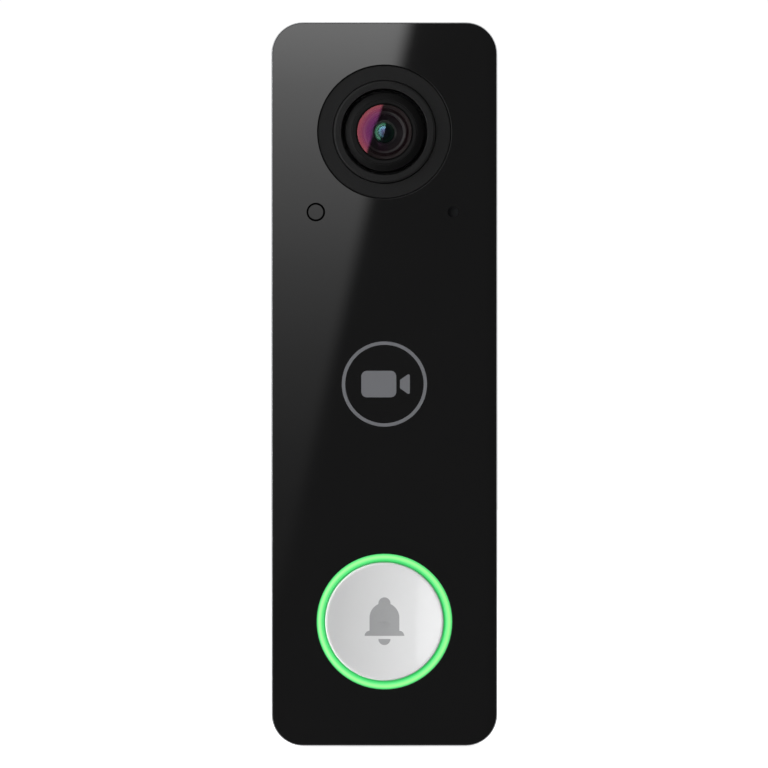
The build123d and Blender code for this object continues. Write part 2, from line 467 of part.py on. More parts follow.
# ------------------------------------------------------------------ wire terminals
plates, pins = [], []
for sx in (1, -1):
    t = rounded(8.4, 7.4, 0.6, 5.2, D_COVER, sx * TERM_X, ZB) + rod(sx * TERM_X, ZB, 2.9, 5.9, 10.6)
    t -= rod(sx * TERM_X, ZB, 1.8, 4.0, 10.0)
    plates.append(t)
    pins.append(rod(sx * TERM_X, ZB, 0.9, 10.6, 13.2) + rod(sx * TERM_X, ZB, 0.5, 13.0, 14.4))
keep("terminal_plates", Compound(children=plates))
keep("contact_pins", Compound(children=pins))
for name, sx in (("left", -1), ("right", 1)):
    x = sx * TERM_X
    w = rounded(6.8, 6.8, 0.7, 4.7, 5.2, x, ZB) - rod(x, ZB, 1.76, 4, 6)
    keep("terminal_washer_" + name, w)
    s = turned([(0, 3.3), (2.7, 3.3), (2.7, 4.7), (1.7, 4.7), (1.7, 9.0), (1.2, 9.6), (0, 9.6)], x, ZB,
               [((2.7, 3.3), 0.55)])
    s -= prism(Pos(x, ZB) * Rot(0, 0, 25 * sx) * Rectangle(6.0, 0.8), 3.0, 4.0)
    keep("terminal_screw_" + name, s)

# ------------------------------------------------------------------ security screw
zh = -64.07
sec = upright(0, SEC_D, 2.0, zh, zh + 1.2)
sec = chamfer(sec.faces().sort_by(Axis.Z)[0].edges(), 0.2)
sec += upright(0, SEC_D, 1.25, zh + 1.0, -58.6)
tip = Pos(0, -SEC_D, -58.4) * Cone(1.25, 0.85, 0.4)
sec += tip
six = Circle(0.78)
for k in range(6):
    a = math.radians(60 * k)
    six += Pos(0.72 * math.cos(a), 0.72 * math.sin(a)) * Circle(0.26)
six -= Circle(0.22)
sec -= extrude(Plane(origin=(0, -SEC_D, zh - 0.2)) * six, amount=1.0)
keep("security_screw", sec)
keep("security_washer", upright(0, SEC_D, 1.95, zh + 1.2, zh + 1.5) - upright(0, SEC_D, 1.3, zh, zh + 3))

# ------------------------------------------------------------------ write
os.makedirs("parts", exist_ok=True)
for old in os.listdir("parts"):
    if old.endswith(".step"):
        os.remove(os.path.join("parts", old))
for name, shape in parts.items():
    export_step(shape, "parts/" + name + ".step")
print(len(parts), "nodes")
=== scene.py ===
"""Looks for the video doorbell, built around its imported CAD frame. Metres; X right, Z up, the front faces -Y."""
import json
import math

import bmesh
import bpy
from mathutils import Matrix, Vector

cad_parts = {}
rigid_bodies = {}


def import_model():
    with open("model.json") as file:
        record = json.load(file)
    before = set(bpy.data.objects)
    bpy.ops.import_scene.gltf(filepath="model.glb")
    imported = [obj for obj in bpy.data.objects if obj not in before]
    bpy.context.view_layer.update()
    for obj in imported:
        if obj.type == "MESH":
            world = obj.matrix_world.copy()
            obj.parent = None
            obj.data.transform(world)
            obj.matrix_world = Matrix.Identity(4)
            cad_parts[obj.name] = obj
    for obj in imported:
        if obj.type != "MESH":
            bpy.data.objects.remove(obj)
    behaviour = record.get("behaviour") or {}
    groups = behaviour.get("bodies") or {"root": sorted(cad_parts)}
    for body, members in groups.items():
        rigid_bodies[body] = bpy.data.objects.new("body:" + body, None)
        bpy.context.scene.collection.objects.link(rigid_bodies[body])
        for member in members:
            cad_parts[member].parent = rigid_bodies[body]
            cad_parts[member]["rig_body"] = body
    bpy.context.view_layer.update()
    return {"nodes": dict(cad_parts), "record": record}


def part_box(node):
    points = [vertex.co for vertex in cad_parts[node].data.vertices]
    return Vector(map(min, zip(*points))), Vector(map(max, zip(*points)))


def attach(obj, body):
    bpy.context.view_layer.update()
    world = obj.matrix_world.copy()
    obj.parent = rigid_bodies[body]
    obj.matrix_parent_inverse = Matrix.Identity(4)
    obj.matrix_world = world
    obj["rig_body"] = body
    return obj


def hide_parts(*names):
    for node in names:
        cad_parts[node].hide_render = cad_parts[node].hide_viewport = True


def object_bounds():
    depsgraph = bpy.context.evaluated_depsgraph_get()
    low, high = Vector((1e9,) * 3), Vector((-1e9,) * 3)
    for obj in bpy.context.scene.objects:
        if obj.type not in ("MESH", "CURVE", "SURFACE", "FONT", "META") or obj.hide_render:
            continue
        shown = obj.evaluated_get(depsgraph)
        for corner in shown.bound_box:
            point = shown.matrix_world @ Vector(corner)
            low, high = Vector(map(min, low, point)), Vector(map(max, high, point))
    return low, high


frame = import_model()
N = frame["nodes"]
scene = bpy.context.scene
MM = 0.001


def middle(node):
    lo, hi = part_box(node)
    return (lo + hi) / 2


CAM_C = middle("ir_window")
BTN_C = middle("light_ring")
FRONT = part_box("front_panel")[0].y

# ------------------------------------------------------------------ node helpers


class Mat:
    """A small builder for a node material around one Principled shader."""

    def __init__(self, name, **sockets):
        self.mat = bpy.data.materials.new(name)
        self.mat.use_nodes = True
        self.t = self.mat.node_tree
        self.bsdf = self.t.nodes["Principled BSDF"]
        self.out = self.t.nodes["Material Output"]
        self.where = None
        for k, v in sockets.items():
            self.set(k.replace("_", " "), v)

    def set(self, socket, value):
        s = self.bsdf.inputs[socket]
        if isinstance(value, (tuple, list)) and len(value) == 3 and s.type == "RGBA":
            value = (*value, 1.0)
        s.default_value = value

    def link(self, a, b):
        self.t.links.new(a, b)

    def node(self, kind, **props):
        n = self.t.nodes.new(kind)
        for k, v in props.items():
            setattr(n, k, v)
        return n

    def coords(self):
        if self.where is None:
            self.where = self.node("ShaderNodeTexCoord").outputs["Object"]
        return self.where

    def moved(self, location=(0, 0, 0), scale=(1, 1, 1)):
        m = self.node("ShaderNodeMapping")
        m.inputs["Location"].default_value = location
        m.inputs["Scale"].default_value = scale
        self.link(self.coords(), m.inputs["Vector"])
        return m.outputs["Vector"]

    def noise(self, size_mm, detail=4.0, rough=0.55, stretch=(1, 1, 1), seed=0.0):
        n = self.node("ShaderNodeTexNoise")
        n.inputs["Scale"].default_value = 1.0 / (size_mm * MM)
        n.inputs["Detail"].default_value = detail
        n.inputs["Roughness"].default_value = rough
        self.link(self.moved((seed, seed * 0.7, seed * 1.3), stretch), n.inputs["Vector"])
        return n.outputs["Fac"]

    def cells(self, size_mm, feature="F1"):
        n = self.node("ShaderNodeTexVoronoi", feature=feature)
        n.inputs["Scale"].default_value = 1.0 / (size_mm * MM)
        self.link(self.coords(), n.inputs["Vector"])
        return n.outputs["Distance"]

    def ramp(self, fac, stops, interpolation="LINEAR"):
        r = self.node("ShaderNodeValToRGB")
        r.color_ramp.interpolation = interpolation
        el = r.color_ramp.elements
        while len(el) < len(stops):
            el.new(0.5)
        for e, (pos, col) in zip(el, stops):
            e.position = pos
            e.color = (*col, 1.0) if isinstance(col, (tuple, list)) else (col, col, col, 1.0)
        self.link(fac, r.inputs["Fac"])
        return r.outputs["Color"]

    def span(self, fac, lo, hi, from_lo=0.3, from_hi=0.7):
        m = self.node("ShaderNodeMapRange")
        m.inputs["From Min"].default_value = from_lo
        m.inputs["From Max"].default_value = from_hi
        m.inputs["To Min"].default_value = lo
        m.inputs["To Max"].default_value = hi
        self.link(fac, m.inputs["Value"])
        return m.outputs["Result"]

    def math(self, op, a, b=None, clamp=False):
        m = self.node("ShaderNodeMath", operation=op, use_clamp=clamp)
        for i, v in enumerate((a, b)):
            if v is None:
                continue
            if isinstance(v, (int, float)):
                m.inputs[i].default_value = v
            else:
                self.link(v, m.inputs[i])
        return m.outputs[0]

    def blend(self, fac, a, b):
        m = self.node("ShaderNodeMix", data_type="RGBA")
        ins = [i for i in m.inputs if i.type == "RGBA"]
        for i, v in zip(ins, (a, b)):
            if isinstance(v, (tuple, list)):
                i.default_value = (*v, 1.0)
            else:
                self.link(v, i)
        if isinstance(fac, (int, float)):
            m.inputs[0].default_value = fac
        else:
            self.link(fac, m.inputs[0])
        return [o for o in m.outputs if o.type == "RGBA"][0]

    def bump(self, *heights, distance=0.00002, strength=0.3):
        normal = None
        for h, d, s in heights:
            b = self.node("ShaderNodeBump")
            b.inputs["Distance"].default_value = d * MM
            b.inputs["Strength"].default_value = s
            self.link(h, b.inputs["Height"])
            if normal is not None:
                self.link(normal, b.inputs["Normal"])
            normal = b.outputs["Normal"]
        self.link(normal, self.bsdf.inputs["Normal"])

    def radius(self, centre):
        """Distance from an axis along Y through centre, in millimetres, and the offsets across and up."""
        sub = self.node("ShaderNodeVectorMath", operation="SUBTRACT")
        sub.inputs[1].default_value = centre
        self.link(self.coords(), sub.inputs[0])
        xyz = self.node("ShaderNodeSeparateXYZ")
        self.link(sub.outputs["Vector"], xyz.inputs[0])
        x, z = xyz.outputs["X"], xyz.outputs["Z"]
        r = self.math("SQRT", self.math("ADD", self.math("MULTIPLY", x, x), self.math("MULTIPLY", z, z)))
        return self.math("MULTIPLY", r, 1000.0), x, z

    def wear(self, base, edge, low=0.5, high=0.62):
        """Lighter colour where the surface turns at an edge, from pointiness."""
        g = self.node("ShaderNodeNewGeometry")
        f = self.span(g.outputs["Pointiness"], 0.0, 1.0, low, high)
        m = self.blend(f, base, edge)
        return m

    def colour(self, c):
        self.link(c, self.bsdf.inputs["Base Color"])

    def rough(self, r):
        self.link(r, self.bsdf.inputs["Roughness"])


def moulded(name, col, rough=0.45, var=0.06, grain=0.25, depth=0.006, tone=0.12, **kw):
    """Injection-moulded plastic: fine spark texture, faint tone change, slightly uneven gloss."""
    m = Mat(name, **kw)
    big, fine = m.noise(9.0, 3.0), m.noise(grain, 5.0, 0.6)
    dark = tuple(c * (1 - tone) for c in col)
    light = tuple(min(1.0, c * (1 + tone)) for c in col)
    m.colour(m.ramp(big, [(0.35, dark), (0.65, light)]))
    m.rough(m.span(fine, rough - var, rough + var))
    m.bump((fine, depth, 0.5), (m.cells(grain * 1.7), depth * 0.8, 0.3))
    return m.mat


def metal(name, col, rough=0.3, var=0.08, brushed=None, depth=0.002, tone=0.08, **kw):
    m = Mat(name, Metallic=1.0, **kw)
    big = m.noise(5.0, 4.0)
    line = m.noise(0.12, 3.0, 0.5, brushed or (1, 1, 1))
    m.colour(m.ramp(big, [(0.3, tuple(c * (1 - tone) for c in col)), (0.7, tuple(min(1, c * (1 + tone)) for c in col))]))
    m.rough(m.span(line, rough - var, rough + var))
    m.bump((line, depth, 0.35))
    return m.mat


# ------------------------------------------------------------------ materials
M = {}

m = Mat("black_gloss", IOR=1.5)
smear, dust = m.noise(14.0, 3.0, 0.6), m.noise(0.5, 2.0, 0.5)
m.colour(m.ramp(smear, [(0.3, (0.0109, 0.0109, 0.0111)), (0.7, (0.0115, 0.0115, 0.0116))]))
m.rough(m.span(smear, 0.018, 0.026))
m.bump((m.noise(22.0, 1.0), 0.004, 0.05))
M["black_gloss"] = m.mat

# the light sensor's window: glossy on its face, dull down in the groove round it, where its colour is also painted near
# black as painted shade
m = Mat("sensor_window", IOR=1.5)
up = m.node("ShaderNodeSeparateXYZ")
m.link(m.coords(), up.inputs[0])
# mask of the window's face; behind it, in the groove, the darker colour is painted shade
face = m.math("LESS_THAN", up.outputs["Y"], -0.0246)
m.colour(m.blend(face, (0.0008, 0.0008, 0.0008), (0.0040, 0.0040, 0.0041)))
m.rough(m.span(face, 0.8, 0.022, 0.0, 1.0))
m.bump((m.noise(22.0, 1.0), 0.004, 0.05))
M["sensor_window"] = m.mat

m = Mat("housing_paint", IOR=1.5)
m.set("Metallic", 0.85)
flake, big = m.noise(0.08, 2.0, 0.7), m.noise(18.0, 3.0)
m.colour(m.blend(m.span(flake, 0.0, 0.35), m.ramp(big, [(0.3, (0.60, 0.61, 0.63)), (0.7, (0.64, 0.65, 0.67))]), (0.78, 0.79, 0.80)))
m.rough(m.span(flake, 0.30, 0.42))
m.bump((flake, 0.0012, 0.35), (m.noise(0.7, 3.0), 0.003, 0.25))
M["housing_paint"] = m.mat

m = Mat("grey_print")
m.colour(m.ramp(m.noise(0.15, 3.0), [(0.3, (0.132, 0.135, 0.146)), (0.7, (0.140, 0.143, 0.154))]))
m.rough(m.span(m.noise(0.3), 0.42, 0.55))
m.bump((m.noise(0.12), 0.001, 0.3))
M["front_print"] = m.mat

m = Mat("bell_print")
m.colour(m.ramp(m.noise(0.15, 3.0), [(0.3, (0.336, 0.339, 0.345)), (0.7, (0.353, 0.356, 0.362))]))
m.rough(m.span(m.noise(0.3), 0.38, 0.5))
m.bump((m.noise(0.12), 0.001, 0.3))
M["bell_print"] = m.mat

M["ir_plastic"] = moulded("ir_plastic", (0.0058, 0.0058, 0.0060), 0.42, 0.03, 0.20, 0.003, 0.05, Specular_IOR_Level=0.3)
M["anodised_black"] = moulded("anodised_black", (0.0064, 0.0064, 0.0066), 0.40, 0.04, 0.14, 0.002, 0.05, Specular_IOR_Level=0.3)
M["baffle"] = moulded("baffle", (0.030, 0.028, 0.028), 0.40, 0.04, 0.14, 0.002, 0.05)
M["black_satin"] = moulded("black_satin", (0.018, 0.018, 0.019), 0.48, 0.06, 0.35, 0.010)
M["bracket_nylon"] = moulded("bracket_nylon", (0.024, 0.024, 0.026), 0.58, 0.07, 0.45, 0.016, 0.18)
M["silicone"] = moulded("silicone", (0.022, 0.022, 0.024), 0.62, 0.05, 0.5, 0.006)
M["adhesive"] = moulded("adhesive", (0.015, 0.015, 0.015), 0.75, 0.05, 0.3, 0.02)
M["chip_black"] = moulded("chip_black", (0.02, 0.02, 0.022), 0.5, 0.06, 0.3, 0.006)
M["acetal_white"] = moulded("acetal_white", (0.68, 0.68, 0.64), 0.4, 0.05, 0.3, 0.004, 0.04)
M["speaker_black"] = moulded("speaker_black", (0.02, 0.02, 0.022), 0.5, 0.06, 0.4, 0.01)
M["led_body"] = moulded("led_body", (0.75, 0.75, 0.70), 0.35, 0.05, 0.2, 0.004, 0.05)

m = Mat("button_white", IOR=1.49)
grain = m.noise(0.22, 4.0, 0.6)
m.colour(m.ramp(m.noise(12.0, 2.0), [(0.3, (0.733, 0.736, 0.740)), (0.7, (0.749, 0.752, 0.755))]))
m.rough(m.span(grain, 0.36, 0.44))
m.set("Subsurface Weight", 0.04)
m.set("Subsurface Radius", (0.0006, 0.0006, 0.0006))
m.bump((grain, 0.0014, 0.4), (m.cells(0.35), 0.001, 0.3))
M["button_white"] = m.mat

M["steel_screw"] = metal("steel_screw", (0.58, 0.575, 0.56), 0.28, 0.08)
M["steel_black"] = metal("steel_black", (0.055, 0.055, 0.058), 0.38, 0.08)
M["brass"] = metal("brass", (0.72, 0.52, 0.24), 0.25, 0.07, (1, 1, 12))
M["tin_plate"] = metal("tin_plate", (0.62, 0.62, 0.61), 0.33, 0.09)
M["heat_sink_metal"] = metal("heat_sink_metal", (0.62, 0.62, 0.63), 0.5, 0.08, None, 0.008)
M["foil_cell"] = metal("foil_cell", (0.55, 0.56, 0.57), 0.42, 0.1, (1, 1, 6), 0.006)
M["capacitor_can"] = metal("capacitor_can", (0.56, 0.56, 0.58), 0.3, 0.06)

m = Mat("coil_copper", Metallic=1.0)
w = m.node("ShaderNodeTexWave", wave_type="BANDS", bands_direction="Y")
w.inputs["Scale"].default_value = 1 / (0.2 * MM) / 2
w.inputs["Distortion"].default_value = 0.4
m.link(m.coords(), w.inputs["Vector"])
# copper tone, darker in the troughs between turns: painted shade between the windings
m.colour(m.ramp(w.outputs["Fac"], [(0.2, (0.25, 0.07, 0.025)), (0.8, (0.62, 0.22, 0.09))]))
m.rough(m.span(m.noise(0.2), 0.2, 0.35))
m.bump((w.outputs["Fac"], 0.04, 0.8))
M["coil_copper"] = m.mat

m = Mat("circuit_board", IOR=1.5)
tr = m.node("ShaderNodeTexBrick", offset=0.37, squash=1.4, squash_frequency=3)
tr.inputs["Scale"].default_value = 1 / (1.6 * MM)
tr.inputs["Mortar Size"].default_value = 0.05
tr.inputs["Color1"].default_value = (0.006, 0.030, 0.012, 1)
tr.inputs["Color2"].default_value = (0.009, 0.042, 0.016, 1)
tr.inputs["Mortar"].default_value = (0.020, 0.085, 0.034, 1)
rot = m.node("ShaderNodeMapping")
rot.inputs["Rotation"].default_value = (math.pi / 2, 0, 0)
m.link(m.coords(), rot.inputs["Vector"])
m.link(rot.outputs["Vector"], tr.inputs["Vector"])
m.colour(tr.outputs["Color"])
m.rough(m.span(m.noise(0.6), 0.25, 0.38))
m.bump((tr.outputs["Fac"], 0.02, 0.5))
M["circuit_board"] = m.mat

m = Mat("flex_film", IOR=1.6)
fw = m.node("ShaderNodeTexWave", wave_type="BANDS", bands_direction="X")
fw.inputs["Scale"].default_value = 1 / (0.5 * MM) / 2
m.link(m.coords(), fw.inputs["Vector"])
m.colour(m.ramp(fw.outputs["Fac"], [(0.45, (0.30, 0.12, 0.02)), (0.55, (0.42, 0.19, 0.04))]))
m.rough(m.span(m.noise(0.8), 0.22, 0.34))
m.bump((fw.outputs["Fac"], 0.01, 0.4))
M["flex_film"] = m.mat

m = Mat("mesh_cloth")
a = m.node("ShaderNodeTexWave", wave_type="BANDS", bands_direction="X")
b = m.node("ShaderNodeTexWave", wave_type="BANDS", bands_direction="Z")
for wv in (a, b):
    wv.inputs["Scale"].default_value = 1 / (0.16 * MM) / 2
    m.link(m.coords(), wv.inputs["Vector"])
weave = m.math("MULTIPLY", a.outputs["Fac"], b.outputs["Fac"])
m.colour(m.ramp(weave, [(0.1, (0.0125, 0.0137, 0.0160)), (0.6, (0.0068, 0.0072, 0.0082))]))
m.rough(m.span(weave, 0.45, 0.8))
m.bump((weave, 0.05, 0.8))
M["mesh_cloth"] = m.mat

m = Mat("sensor_die", IOR=1.5)
m.set("Thin Film Thickness", 380.0)
m.set("Thin Film IOR", 1.8)
m.colour(m.ramp(m.noise(1.5), [(0.3, (0.010, 0.012, 0.030)), (0.7, (0.016, 0.018, 0.045))]))
m.rough(m.span(m.noise(0.5), 0.08, 0.14))
m.bump((m.cells(0.12), 0.004, 0.3))
M["sensor_die"] = m.mat

# lit ring: brightest along the middle of its width
m = Mat("light_guide", IOR=1.5)
r, _, _ = m.radius(tuple(BTN_C))
across = m.span(r, 0.0, 1.0, 10.5, 12.1)
GLOW = [(0.00, (0.020, 0.30, 0.070)), (0.16, (0.032, 0.58, 0.12)), (0.34, (0.115, 0.82, 0.22)), (0.48, (0.26, 0.95, 0.275)),
        (0.60, (0.370, 1.0, 0.31)), (0.73, (0.25, 0.90, 0.28)), (0.86, (0.10, 0.77, 0.205)), (1.0, (0.014, 0.27, 0.045))]
glow = m.ramp(across, GLOW)
m.colour(m.ramp(m.noise(0.3), [(0.3, (0.02, 0.10, 0.035)), (0.7, (0.03, 0.12, 0.045))]))
m.link(glow, m.bsdf.inputs["Emission Color"])
m.set("Emission Strength", 1.0)
m.rough(m.span(m.noise(0.25), 0.30, 0.40))
m.bump((m.noise(0.25), 0.002, 0.3))
M["light_guide"] = m.mat

# lens barrel: dull black, painted near black down in the gap round the glass as painted shade, and painted lighter
# towards the rim of its head as painted light
m = Mat("barrel_black", Specular_IOR_Level=0.2)
r, _, _ = m.radius(tuple(CAM_C))
# below about 5.1 mm the colour goes near black: painted shade in the gap round the glass
out = m.span(r, 0.0, 1.0, 5.06, 5.16)
g1 = m.noise(0.14, 5.0, 0.6)
# from 6.45 to 7.02 mm the head is painted lighter: painted light that lifts the shade of the bezel and the turning rim
head_rim_painted_light = m.span(r, 0.0, 1.0, 6.45, 7.02)
face = m.ramp(m.noise(9.0, 3.0), [(0.35, (0.0042, 0.0042, 0.0043)), (0.65, (0.0048, 0.0048, 0.0049))])
face = m.blend(m.math("MULTIPLY", head_rim_painted_light, head_rim_painted_light), face, (0.0130, 0.0130, 0.0132))
m.colour(m.blend(out, (0.0004, 0.0004, 0.0004), face))
m.rough(m.math("SUBTRACT", m.span(g1, 0.86, 0.94), m.math("MULTIPLY", out, 0.46)))
m.bump((g1, 0.002, 0.5))
M["barrel_black"] = m.mat

# turned baffle behind the front glass, coloured ring by ring across its radius: a land, a black groove, steps, a dull
# bore; the black of the grooves is painted shade, and the bright and dark lines on the steps are painted highlights and
# painted shade of their walls
m = Mat("baffle")
r, _, _ = m.radius(tuple(CAM_C))
g1, turn = m.noise(0.14, 5.0, 0.6), m.node("ShaderNodeTexWave", wave_type="RINGS", rings_direction="Y")
turn.inputs["Scale"].default_value = 1 / (0.06 * MM) / 2
m.link(m.coords(), turn.inputs["Vector"])
# near-black bands: painted shade in the grooves; bright and dark lines round 3.3–3.8 mm: painted highlights and painted
# shade of the steps
m.colour(m.ramp(m.span(r, 0.0, 1.0, 1.5, 5.5), [
    (0.00, (0.060, 0.060, 0.060)), (0.10, (0.110, 0.110, 0.110)), (0.16, (0.110, 0.110, 0.110)), (0.175, (0.006, 0.003, 0.006)),
    (0.20, (0.020, 0.021, 0.020)), (0.44, (0.023, 0.024, 0.023)), (0.455, (0.078, 0.077, 0.077)), (0.475, (0.052, 0.051, 0.051)), (0.495, (0.092, 0.091, 0.091)),
    (0.545, (0.090, 0.089, 0.089)), (0.56, (0.016, 0.012, 0.013)), (0.585, (0.003, 0.0006, 0.0012)), (0.645, (0.003, 0.0006, 0.0012)),
    (0.66, (0.028, 0.025, 0.025)), (0.72, (0.036, 0.033, 0.033)), (1.0, (0.040, 0.037, 0.037))]))
m.rough(m.span(g1, 0.36, 0.46))
m.bump((g1, 0.002, 0.5), (turn.outputs["Fac"], 0.002, 0.3))
M["baffle"] = m.mat


def lens_coat(name, stops, reach, rough):
    """Mirror coat of one lens face: stops of (radius in mm, colour, opacity)."""
    m = Mat(name, Metallic=1.0, Roughness=rough)
    r, _, _ = m.radius(tuple(CAM_C))
    at = m.span(r, 0.0, 1.0, 0.0, reach)
    m.colour(m.ramp(at, [(q / reach, c) for q, c, _ in stops]))
    m.link(m.ramp(at, [(q / reach, (a, a, a)) for q, _, a in stops]), m.bsdf.inputs["Alpha"])
    M[name] = m.mat


lens_coat("lens_coated", [
    (0.0, (0.20, 0.18, 0.46), 0.12), (0.45, (0.22, 0.24, 0.55), 0.16), (0.95, (0.20, 0.52, 0.66), 0.20), (1.06, (0.10, 0.05, 0.12), 0.06), (2.02, (0.10, 0.03, 0.12), 0.06),
    (2.14, (0.16, 0.035, 0.16), 0.36), (2.6, (0.24, 0.045, 0.20), 0.36), (3.3, (0.31, 0.060, 0.20), 0.36), (4.0, (0.42, 0.085, 0.18), 0.36),
    (4.55, (0.50, 0.105, 0.15), 0.36), (4.80, (0.56, 0.12, 0.15), 0.36), (4.84, (0.0, 0.0, 0.0), 0.6)], 5.0, 0.012)
lens_coat("lens_inner", [
    (0.0, (0.20, 0.45, 0.50), 0.02), (0.80, (0.20, 0.60, 0.60), 0.08), (1.15, (0.18, 0.70, 0.62), 0.10), (1.30, (0.24, 0.85, 0.52), 0.24), (1.58, (0.22, 0.80, 0.46), 0.24),
    (1.74, (0.10, 0.30, 0.25), 0.03), (4.0, (0.10, 0.10, 0.10), 0.03)], 4.0, 0.02)

m = Mat("lens_last", IOR=1.6)
m.colour(m.ramp(m.noise(3.0), [(0.3, (0.048, 0.054, 0.068)), (0.7, (0.055, 0.061, 0.076))]))
m.rough(m.span(m.noise(1.0), 0.04, 0.08))
m.set("Alpha", 0.5)
M["lens_last"] = m.mat

m = Mat("lens_clear", IOR=1.5)
m.colour(m.ramp(m.noise(3.0), [(0.3, (0.010, 0.010, 0.011)), (0.7, (0.014, 0.014, 0.015))]))
m.rough(m.span(m.noise(1.0), 0.03, 0.06))
m.set("Alpha", 0.02)
M["lens_clear"] = m.mat

m = Mat("lens_edge", Specular_IOR_Level=0.2)
m.colour(m.ramp(m.noise(0.3), [(0.3, (0.0010, 0.0010, 0.0011)), (0.7, (0.0016, 0.0016, 0.0017))]))
m.rough(m.span(m.noise(0.2), 0.75, 0.9))
m.bump((m.noise(0.1), 0.003, 0.4))
M["lens_edge"] = m.mat

m = Mat("filter_glass", Metallic=1.0, Roughness=0.03)
m.colour(m.ramp(m.noise(4.0), [(0.3, (0.55, 0.20, 0.22)), (0.7, (0.60, 0.24, 0.26))]))
m.set("Alpha", 0.35)
M["filter_glass"] = m.mat

SLOT_MAT = {
    "black_gloss": "black_gloss", "housing_paint": "housing_paint", "ir_plastic": "ir_plastic", "anodised_black": "anodised_black",
    "black_satin": "black_satin", "bracket_nylon": "bracket_nylon", "silicone": "silicone", "adhesive": "adhesive",
    "chip_black": "chip_black", "acetal_white": "acetal_white", "speaker_black": "speaker_black", "led_body": "led_body",
    "button_white": "button_white", "steel_screw": "steel_screw", "steel_black": "steel_black", "brass": "brass",
    "tin_plate": "tin_plate", "heat_sink_metal": "heat_sink_metal", "foil_cell": "foil_cell", "capacitor_can": "capacitor_can",
    "coil_copper": "coil_copper", "circuit_board": "circuit_board", "flex_film": "flex_film", "mesh_cloth": "mesh_cloth",
    "sensor_die": "sensor_die", "light_guide": "light_guide", "lens_glass": "lens_inner", "filter_glass": "filter_glass"}
NODE_MAT = {"light_sensor_window": "sensor_window", "lens_spacer": "baffle", "lens_barrel": "barrel_black",
            "lens_retaining_ring": "barrel_black", "front_pictogram": "front_print", "bell_pictogram": "bell_print"}
slots = {s["node"]: s["material_slot"] for s in frame["record"]["subparts"]}
for name, ob in N.items():
    mat = M[NODE_MAT.get(name) or SLOT_MAT[slots[name]]]
    ob.data.materials.clear()
    ob.data.materials.append(mat)

# ------------------------------------------------------------------ lens glasses: finely turned, so that they mirror cleanly


def glass(node, edge, coat, rings=40, turns=192):
    """A lens turned from its rim points (radius, distance from the wall) in mm; its two faces are arcs to the CAD lens's apexes."""
    lo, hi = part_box(node)
    y_front, y_back = lo.y, -APEX[node] * MM
    body = N[node]["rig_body"]

    def arc(r_mm, d_mm, apex_y):
        rim_r, rim_y = r_mm * MM, -d_mm * MM
        sag = rim_y - apex_y
        rad = (rim_r ** 2 + sag ** 2) / (2 * abs(sag))
        out = []
        for k in range(rings + 1):
            q = rim_r * math.sin(math.pi / 2 * k / rings)
            out.append((q, apex_y + math.copysign(rad - math.sqrt(rad * rad - q * q), sag)))
        return out

    front, back = arc(*edge[0], y_front), arc(*edge[-1], y_back)
    prof = [(r, y, 0) for r, y in front] + [(r * MM, -d * MM, 1) for r, d in edge[1:-1]] + [(r, y, 2) for r, y in reversed(back)]
    bm = bmesh.new()
    cols = []
    for r, y, _ in prof:
        if r < 1e-9:
            cols.append([bm.verts.new((CAM_C.x, y, CAM_C.z))])
        else:
            cols.append([bm.verts.new((CAM_C.x + r * math.cos(2 * math.pi * k / turns), y, CAM_C.z + r * math.sin(2 * math.pi * k / turns)))
                         for k in range(turns)])
    n_front, n_edge = rings, rings + len(edge) - 1
    for i in range(len(prof) - 1):
        a, b = cols[i], cols[i + 1]
        kind = 0 if i < n_front else (1 if i < n_edge else 2)
        for k in range(turns):
            k2 = (k + 1) % turns
            if len(a) == 1:
                f = bm.faces.new((a[0], b[k2], b[k]))
            elif len(b) == 1:
                f = bm.faces.new((a[k], a[k2], b[0]))
            else:
                f = bm.faces.new((a[k], a[k2], b[k2], b[k]))
            f.material_index = kind
            f.smooth = kind != 1
    bmesh.ops.recalc_face_normals(bm, faces=bm.faces)
    for e in bm.edges:
        kinds = {f.material_index for f in e.link_faces}
        e.smooth = kinds in ({0}, {2})
    me = bpy.data.meshes.new(node + "_glass")
    bm.to_mesh(me)
    bm.free()
    ob = bpy.data.objects.new(node + "_glass", me)
    scene.collection.objects.link(ob)
    for mat in (M[coat], M["lens_edge"], M["lens_clear"]):
        me.materials.append(mat)
    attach(ob, body)
    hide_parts(node)
    return ob


APEX = {"lens_front": 23.95, "lens_middle": 18.95, "lens_rear": 13.3}
glass("lens_front", [(4.84, 24.9), (4.84, 24.39), (5.18, 24.39), (5.18, 23.85)], "lens_coated")
glass("lens_middle", [(3.6, 20.55), (3.98, 20.3), (3.98, 18.6)], "lens_inner")
glass("lens_rear", [(3.0, 17.6), (3.18, 17.5), (3.18, 14.2)], "lens_last")


